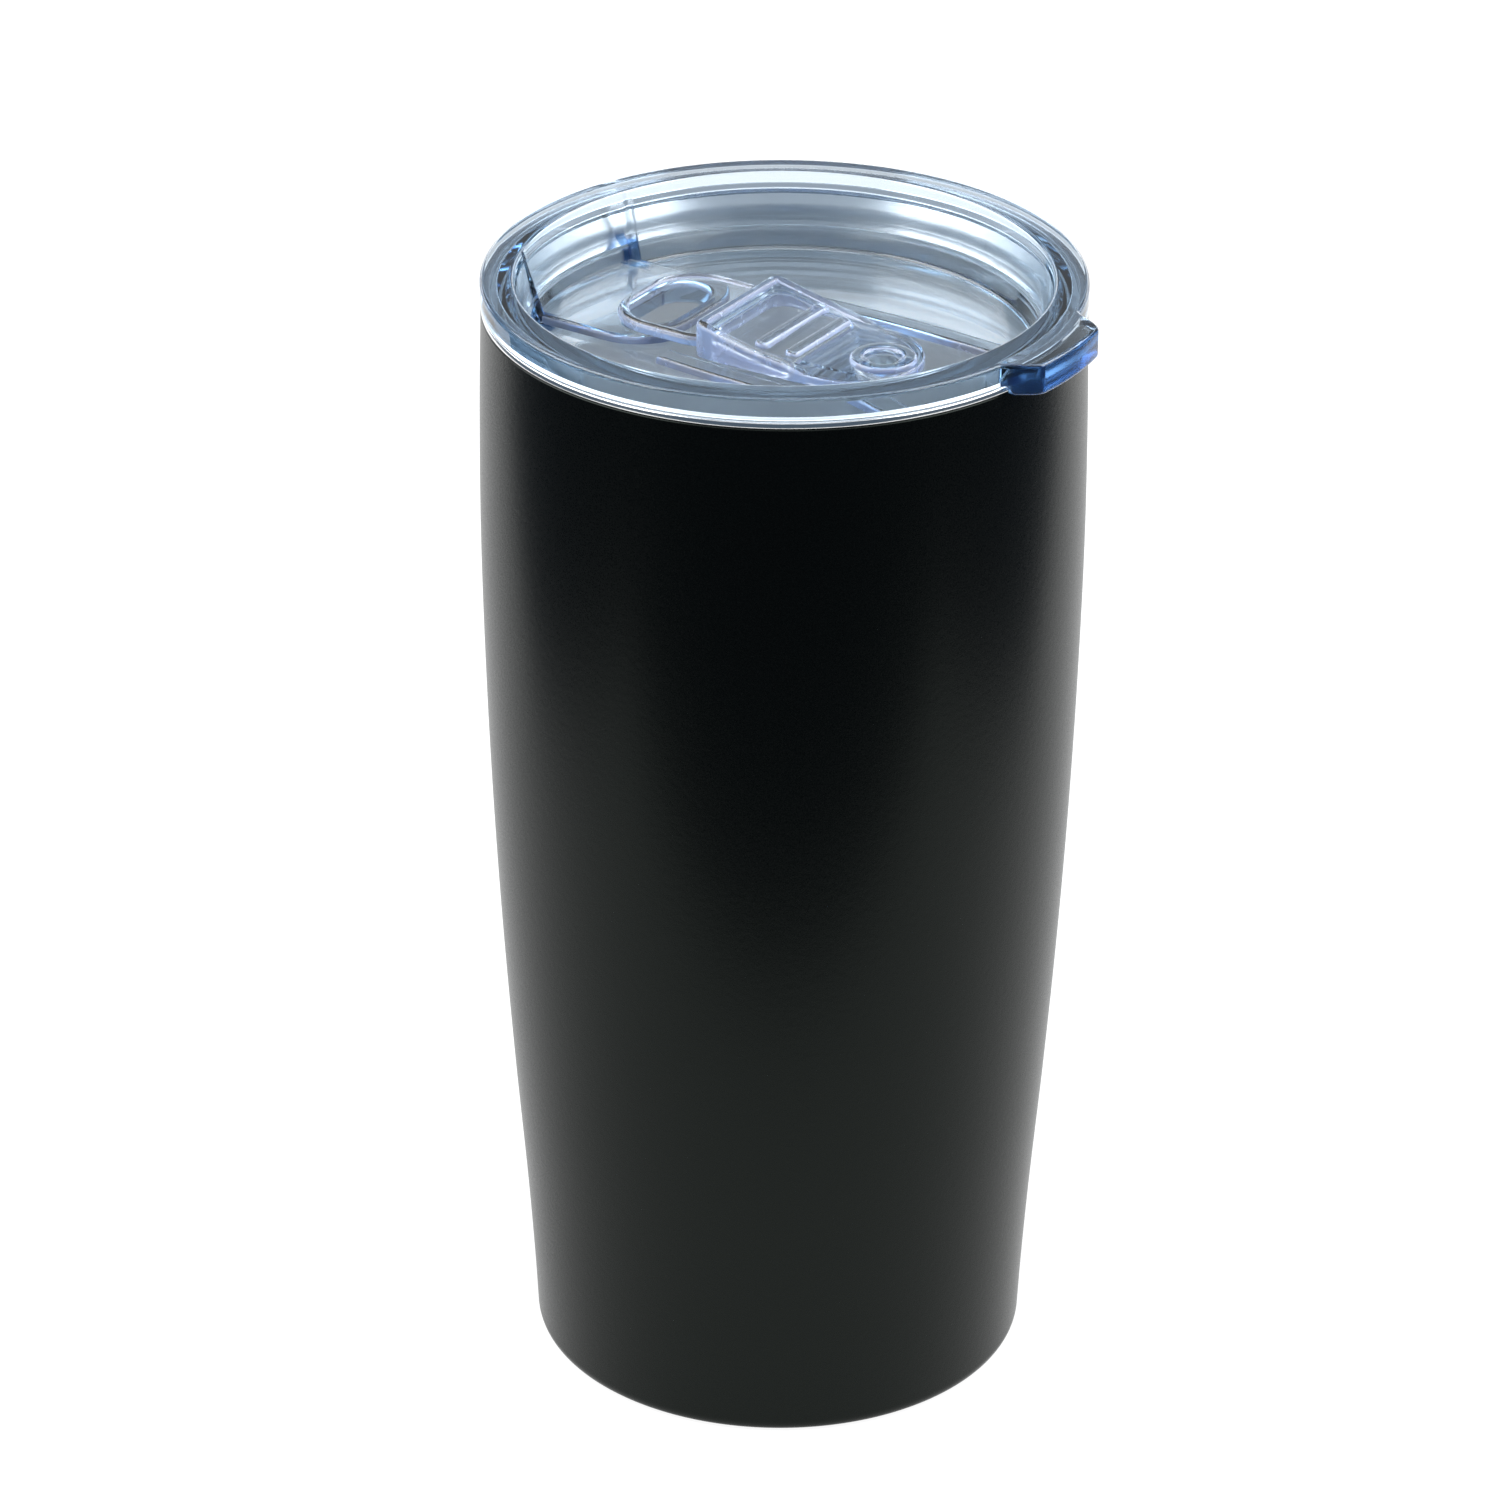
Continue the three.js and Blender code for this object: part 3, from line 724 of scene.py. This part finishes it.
def lid_profile(angle):
    """The lid's (radius, height) section at an angle, from its underside round to its recess floor."""
    share = tab_share(angle)
    radius = LID_RADIUS + (TAB_RADIUS - LID_RADIUS) * share
    drop = (FLANGE_LOW - TAB_LOW) * ease((radius - LID_RADIUS - 0.6) / 0.9)
    step = LID_RADIUS + 0.3 if drop > 0 else radius - 0.4
    rib = spout_rib(angle)
    return rounded([
        (0, UNDERSIDE, 0),
        (PLUG_LOW_RADIUS, UNDERSIDE, 1.0),
        (PLUG_LOW_RADIUS, GROOVE_LOW, 0.15),
        (GROOVE_RADIUS, GROOVE_LOW, 0.2),
        (GROOVE_RADIUS, GROOVE_HIGH - 0.9, 0.4),
        (PLUG_HIGH_RADIUS - 1.2, GROOVE_HIGH + 0.7, 0.6),
        (PLUG_HIGH_RADIUS, FLANGE_LOW, 0.3),
        (step, FLANGE_LOW, 0.0),
        (step + 0.01, FLANGE_LOW - drop, 0.0),
        (radius, FLANGE_LOW - drop, 0.35 + 0.25 * share),
        (radius, LID_TOP, 0.7),
        (RECESS_TOP_RADIUS, LID_TOP, 0.6),
        (RECESS_FLOOR_RADIUS - rib, RECESS_FLOOR, 0.8),
        (RECESS_FLOOR_RADIUS - 4, RECESS_FLOOR, 0.0),
        (0, RECESS_FLOOR, 0),
    ])


def recess_radius(height):
    rise = (height - RECESS_FLOOR) / (LID_TOP - RECESS_FLOOR)
    return RECESS_FLOOR_RADIUS + (RECESS_TOP_RADIUS - RECESS_FLOOR_RADIUS) * rise


def within_recess(obj, top):
    """Crops a floor feature to the recess, with a little of the wall."""
    return combine(obj, turned_plain("crop", np.array([
        (0, RECESS_FLOOR - 2), (recess_radius(top) + 0.6, RECESS_FLOOR - 2),
        (recess_radius(top) + 0.6, top + 1), (0, top + 1),
    ]), 128), "INTERSECT")


def rail(side):
    start, end = RAIL_X
    xs = np.linspace(start, end, 40)
    bow = RAIL_BOW * (1 - ((2 * xs - start - end) / (end - start)) ** 2)
    inner = np.stack([xs, side * (RAIL_INNER + bow)], 1)
    outer = np.stack([xs, side * (RAIL_INNER + RAIL_WIDTH + bow)], 1)
    first, second = (inner, outer) if side > 0 else (outer, inner)
    outline = np.concatenate([first, second[::-1]])
    return within_recess(slab("rail", outline, RECESS_FLOOR - 1, RAIL_TOP, round_top=0.5), RAIL_TOP)


def lid():
    body = turned("lid", lid_profile, lid_angles())
    platform = slab(
        "platform",
        round_plan(-RECESS_FLOOR_RADIUS - 10, PLATFORM_END, PLATFORM_HALF, PLATFORM_CORNER, 16),
        RECESS_FLOOR - 1, PLATFORM_TOP, round_top=0.7,
    )
    combine(body, within_recess(platform, PLATFORM_TOP), "UNION")
    for side in (1, -1):
        combine(body, rail(side), "UNION")
    hole = flared("hole", round_plan(*DRINK_HOLE, 12), UNDERSIDE, PLATFORM_TOP, HOLE_ROUND)
    combine(body, hole, "DIFFERENCE")
    reach = PEG_RADIUS + SLOT_CLEARANCE
    slot_plan = round_plan(BOSS_X - reach, BOSS_X + SLIDE_TRAVEL + reach, reach, reach, 12)
    combine(body, slab("slot", slot_plan, UNDERSIDE - 1, RECESS_FLOOR + 0.5), "DIFFERENCE")
    return add_painted_glow_edges(finish_piece(body, "lid_clear", "lid", ["lid_body"], PLASTIC))


def gasket():
    inner = GROOVE_RADIUS + 0.3
    outer = GASKET_HIGH.x
    low, high = GASKET_LOW.z, GASKET_HIGH.z
    middle = (low + high) / 2
    profile = rounded([
        (inner, middle, 0),
        (inner, low, 0.25),
        (outer - 0.5, low, 0.3),
        (outer, low + 0.75, 0.45),
        (outer - 0.8, middle, 0.3),
        (outer, high - 0.75, 0.45),
        (outer - 0.5, high, 0.3),
        (inner, high, 0.25),
        (inner, middle, 0),
    ], 5)[:-1]
    obj = turned_plain("gasket", profile, closed=True)
    return finish_piece(obj, "gasket_soft", "lid", ["lid_gasket"], RUBBER)


# ---------------------------------------------------------------- slider
def ramp_top(x):
    """Height of the ramp: a shallow hollow slope from the grip edge down to the flat plate."""
    along_ramp = min(max((x - GRIP_X) / (RAMP_END - GRIP_X), 0.0), 1.0)
    sag = RAMP_SAG * 4 * along_ramp * (1 - along_ramp)
    return max(GRIP_TOP - BORDER_HIGH - (x - GRIP_X) * RAMP_SLOPE - sag, PLATE_TOP)


def slider_half(x):
    """Half the slider's width where it has straight sides: they bow out a little."""
    along_side = min(max((x - GRIP_X) / (PLATE_CENTRE - GRIP_X), 0.0), 1.0)
    taper = TONGUE_HALF + (PLATE_HALF - TONGUE_HALF) * along_side
    return taper + SLIDER_BOW * 4 * along_side * (1 - along_side)


def slider_plan(x0, inset_by=0.0, corner=2.0, steps=28):
    """The slider's plan from x0 to its round end, counter-clockwise, with rounded corners at x0."""
    end = np.radians(np.linspace(-90, 90, steps + 1))[1:-1]
    sides = np.linspace(x0 + corner, PLATE_CENTRE, 24)
    turn = np.radians(np.linspace(0, 90, 7))[:-1]
    half = slider_half(x0 + corner)
    near_corner = [(x0 + corner * (1 - math.cos(a)), corner * (1 - math.sin(a)) - half) for a in turn]
    near = near_corner + [(x, -slider_half(x)) for x in sides]
    far = [(x, -y) for x, y in reversed(near)]
    round_end = [(PLATE_CENTRE + PLATE_HALF * math.cos(a), PLATE_HALF * math.sin(a)) for a in end]
    outline = np.array(near + round_end + far)
    return inset(outline, inset_by) if inset_by else outline


def along(outline, length=0.6):
    """The same closed outline with points no further apart than length."""
    points = []
    for here, there in zip(outline, np.roll(outline, -1, 0)):
        count = max(1, int(np.linalg.norm(there - here) / length))
        points += [here + (there - here) * i / count for i in range(count)]
    return np.array(points)


def border_path():
    """The middle of the raised border: it follows the ramp, then sinks into the flat plate."""
    path = []
    for x, y in along(slider_plan(GRIP_X, BORDER_WIDTH / 2), 0.5):
        fade = ease((RAMP_END + 4 - x) / 7)
        path.append((x, y, ramp_top(x) + BORDER_HIGH - BORDER_WIDTH / 2 - (1 - fade) * BORDER_HIGH * 1.2))
    return path


def tongue_outline(inset_by=0.0):
    """The tongue's plan: straight under the grip edge and round at its free end."""
    free = round_plan(TONGUE_END, GRIP_X + 6, TONGUE_HALF, TONGUE_ROUND, 14)
    return inset(free, inset_by) if inset_by else free


def rib(x, length):
    plan = round_plan(-length / 2, length / 2, RIB_WIDTH / 2, RIB_WIDTH / 2, 10)
    plan = np.stack([x - plan[:, 1], plan[:, 0]], 1)
    return slab("rib", plan, ramp_top(x) - 1.2, lambda at: ramp_top(at) + RIB_HIGH, 0.8, steps=7)


def boss():
    obj = turned_plain("boss", rounded([
        (0, PLATE_LOW + 0.4, 0),
        (BOSS_RADIUS, PLATE_LOW + 0.4, 0),
        (BOSS_RADIUS, BOSS_TOP, 1.0),
        (BOSS_RADIUS - 1.7, BOSS_TOP, 0.9),
        (2.4, BOSS_TOP - BOSS_DISH, 1.6),
        (0, BOSS_TOP - BOSS_DISH, 0),
    ], 8), 72)
    obj.location.x = BOSS_X * MM
    return obj


def peg():
    low = SLIDER_LOW.z
    obj = turned_plain("peg", rounded([
        (0, low, 0),
        (PEG_HEAD_RADIUS, low, 0.4),
        (PEG_HEAD_RADIUS, low + PEG_HEAD_THICK, 0.2),
        (PEG_RADIUS, low + PEG_HEAD_THICK, 0.1),
        (PEG_RADIUS, PLATE_LOW + 0.6, 0),
        (0, PLATE_LOW + 0.6, 0),
    ], 5), 48)
    obj.location.x = BOSS_X * MM
    return obj


def within_tongue(obj):
    """Crops the tongue's rim to the part that stands free of the grip edge."""
    free = round_plan(TONGUE_END - 2, GRIP_X + 0.6, TONGUE_HALF + 2, 0.1, 2)
    return combine(obj, slab("crop", free, TONGUE_LOW - 1, TONGUE_TOP + 2), "INTERSECT")


def slider():
    body = slab("slider", along(slider_plan(GRIP_X)), PLATE_LOW, ramp_top, 0.5, 0.2)
    cavity = slab(
        "cavity",
        along(round_plan(GRIP_X + GRIP_THICK, RAMP_END - 2, TONGUE_HALF - RAMP_THICK, 3.0, 8)),
        PLATE_LOW - 1, lambda x: ramp_top(x) - RAMP_THICK, 1.2, steps=7,
    )
    combine(body, cavity, "DIFFERENCE")
    combine(body, bead("border", border_path(), BORDER_WIDTH / 2), "UNION")
    tongue = slab("tongue", along(tongue_outline()), TONGUE_LOW, TONGUE_TOP, 0.4, 0.2)
    under_ramp = round_plan(GRIP_X + 1, GRIP_X + 8, TONGUE_HALF + 2, 0.1, 2)
    combine(tongue, slab("under_ramp", under_ramp, TONGUE_LOW - 1, TONGUE_TOP + 1), "DIFFERENCE")
    combine(body, tongue, "UNION")
    rim = [(x, y, TONGUE_TOP - 0.35) for x, y in along(tongue_outline(0.9), 0.5)]
    combine(body, within_tongue(bead("rim", rim, 0.8)), "UNION")
    for x, length in RIBS:
        combine(body, rib(x, length), "UNION")
    combine(body, boss(), "UNION")
    combine(body, peg(), "UNION")
    return add_painted_glow_edges(finish_piece(body, "slider_clear", "slider", ["slider"], PLASTIC))


def retainer():
    radius = (RETAINER_HIGH.x - RETAINER_LOW.x) / 2
    low, high = RETAINER_LOW.z, RETAINER_HIGH.z
    bore = PEG_RADIUS + 0.3
    profile = rounded([
        (bore, (low + high) / 2, 0),
        (bore, low, 0.25),
        (radius, low, 0.5),
        (radius, high, 0.3),
        (bore, high, 0.25),
        (bore, (low + high) / 2, 0),
    ], 5)[:-1]
    obj = turned_plain("retainer", profile, 64, closed=True)
    for vertex in obj.data.vertices:
        vertex.co.x += BOSS_X * MM
    return finish_piece(obj, "retainer_clear", "slider", ["slider_retainer"], PLASTIC)


# ---------------------------------------------------------------- studio
CAMERA_TURN = math.radians(33)
CAMERA_SIDE = Vector((math.sin(CAMERA_TURN), -math.cos(CAMERA_TURN), 0))
CAMERA_DISTANCE, CAMERA_HEIGHT = 876.66, 550.13
CAMERA_YAW, CAMERA_DOWN, CAMERA_ROLL = -0.005421, 0.476342, 0.0041536
CAMERA_LENS = 156.48

# The floor, in metres from the tumbler's axis: narrow in front of the tumbler and wide behind it.
FLOOR_FRONT = 0.165
FLOOR_SIDE = 0.25
FLOOR_WIDENS = 0.05
FLOOR_BACK = 4.0
FLOOR_HALF = 3.0
FLOOR_DROP = 0.0002
FLOOR_GLOW = 0.92

# Light panels: near and far edge, in degrees round from the camera's side, both ways; low and high edge, in
# degrees above the floor; and brightness. A number past the end of its range leaves no soft edge there.
STUDIO_PANELS = (
    (135, 200, 0, 15, 3.4),
    (135, 200, 15, 35, 0.42),
    (135, 200, 35, 60, 0.9),
    (50, 135, 25, 60, 7.0),
    (48, 135, 0, 25, 0.2),
    (-20, 48, 35, 60, 0.6),
    (0, 180, 60, 100, 2.6),
)
PANEL_SOFT = 3
ROOM_BLUE, ROOM_LIGHT = (0.5, 0.72, 1.0), 0.14
BACKDROP = 1.3


def floor():
    """A plain pale floor that ends a little way in front of the tumbler."""
    across = CAMERA_SIDE.cross(Vector((0, 0, 1)))
    mesh = bpy.data.meshes.new("floor")
    corners = [
        CAMERA_SIDE * forward + across * side - Vector((0, 0, FLOOR_DROP))
        for forward, side in (
            (FLOOR_FRONT, FLOOR_SIDE), (FLOOR_FRONT, -FLOOR_SIDE), (-FLOOR_WIDENS, -FLOOR_SIDE),
            (-FLOOR_BACK, -FLOOR_HALF), (-FLOOR_BACK, FLOOR_HALF), (-FLOOR_WIDENS, FLOOR_SIDE),
        )
    ]
    mesh.from_pydata(corners, [], [(0, 1, 2, 3, 4, 5)])
    plane = bpy.data.objects.new("floor", mesh)
    bpy.context.scene.collection.objects.link(plane)
    n = Nodes("floor_white")
    n.set(Base_Color=(0.12, 0.12, 0.12, 1), Roughness=0.9, Specular_IOR_Level=0.1)
    n.set(Emission_Color=(1, 1, 1, 1), Emission_Strength=FLOOR_GLOW)
    mesh.materials.append(n.material)


def world():
    """A white backdrop; in reflections, a bright strip low behind, panels at the sides and one overhead."""
    sky = bpy.data.worlds.new("studio")
    bpy.context.scene.world = sky
    sky.use_nodes = True
    tree = sky.node_tree
    tree.nodes.clear()

    def math_node(operation, *values):
        node = tree.nodes.new("ShaderNodeMath")
        node.operation = operation
        for socket, value in zip(node.inputs, values):
            if isinstance(value, (int, float)):
                socket.default_value = value
            else:
                tree.links.new(value, socket)
        return node.outputs[0]

    def step(value, at, soft):
        node = tree.nodes.new("ShaderNodeMapRange")
        node.interpolation_type = "SMOOTHSTEP"
        tree.links.new(value, node.inputs["Value"])
        node.inputs["From Min"].default_value = math.radians(at - soft)
        node.inputs["From Max"].default_value = math.radians(at + soft)
        return node.outputs["Result"]

    def component(axis):
        node = tree.nodes.new("ShaderNodeVectorMath")
        node.operation = "DOT_PRODUCT"
        tree.links.new(way.outputs["Generated"], node.inputs[0])
        node.inputs[1].default_value = axis
        return node.outputs["Value"]

    way = tree.nodes.new("ShaderNodeTexCoord")
    up = Vector((0, 0, 1))
    height = math_node("ARCSINE", component(up))
    across = component(CAMERA_SIDE.cross(up))
    turn = math_node("ABSOLUTE", math_node("ARCTAN2", across, component(CAMERA_SIDE)))
    total = 0.0
    for near, far, low, high, brightness in STUDIO_PANELS:
        inside = math_node("SUBTRACT", step(height, low, PANEL_SOFT), step(height, high, PANEL_SOFT))
        if (near, far) != (0, 180):
            within = math_node("SUBTRACT", step(turn, near, PANEL_SOFT), step(turn, far, PANEL_SOFT))
            inside = math_node("MULTIPLY", inside, within)
        total = math_node("ADD", total, math_node("MULTIPLY", inside, brightness))
    eye = tree.nodes.new("ShaderNodeLightPath")
    back = tree.nodes.new("ShaderNodeBackground")
    out = tree.nodes.new("ShaderNodeOutputWorld")
    seen = math_node("MULTIPLY", eye.outputs["Is Camera Ray"], BACKDROP)
    tree.links.new(math_node("MAXIMUM", seen, total), back.inputs["Strength"])
    room = tree.nodes.new("ShaderNodeBackground")
    room.inputs["Color"].default_value = (*ROOM_BLUE, 1)
    hidden = math_node("SUBTRACT", 1.0, eye.outputs["Is Camera Ray"])
    tree.links.new(math_node("MULTIPLY", hidden, ROOM_LIGHT), room.inputs["Strength"])
    both = tree.nodes.new("ShaderNodeAddShader")
    tree.links.new(back.outputs[0], both.inputs[0])
    tree.links.new(room.outputs[0], both.inputs[1])
    tree.links.new(both.outputs[0], out.inputs["Surface"])


def camera():
    data = bpy.data.cameras.new("camera")
    data.lens, data.sensor_width = CAMERA_LENS, 36
    data.clip_start, data.clip_end = 0.05, 50
    obj = bpy.data.objects.new("camera", data)
    yaw, down = CAMERA_YAW, CAMERA_DOWN
    right = Vector((math.cos(yaw), -math.sin(yaw), 0))
    ahead = Vector((math.sin(yaw) * math.cos(down), math.cos(yaw) * math.cos(down), -math.sin(down)))
    up = right.cross(ahead)
    roll = CAMERA_ROLL
    right, up = right * math.cos(roll) + up * math.sin(roll), up * math.cos(roll) - right * math.sin(roll)
    turn = Matrix.Rotation(CAMERA_TURN, 4, "Z")
    pose = Matrix((right, up, -ahead)).transposed().to_4x4()
    pose.translation = Vector((0, -CAMERA_DISTANCE, CAMERA_HEIGHT)) * MM
    obj.matrix_world = turn @ pose
    bpy.context.scene.collection.objects.link(obj)
    bpy.context.scene.camera = obj


camera()
world()
floor()
bpy.context.scene.view_settings.view_transform = "Standard"
bpy.context.scene.cycles.max_bounces = 24
bpy.context.scene.cycles.transmission_bounces = 24
bpy.context.scene.cycles.glossy_bounces = 8

outer_shell()
inner_liner()
base_cover()
lid()
gasket()
slider()
retainer()
for node, material in (
    ("outer_base", HIDDEN_STEEL),
    ("getter_holder", HIDDEN_STEEL),
    ("vacuum_seal", SEALANT),
    ("getter_ring", GETTER),
):
    mesh = frame["nodes"][node].data
    mesh.materials.clear()
    mesh.materials.append(material)
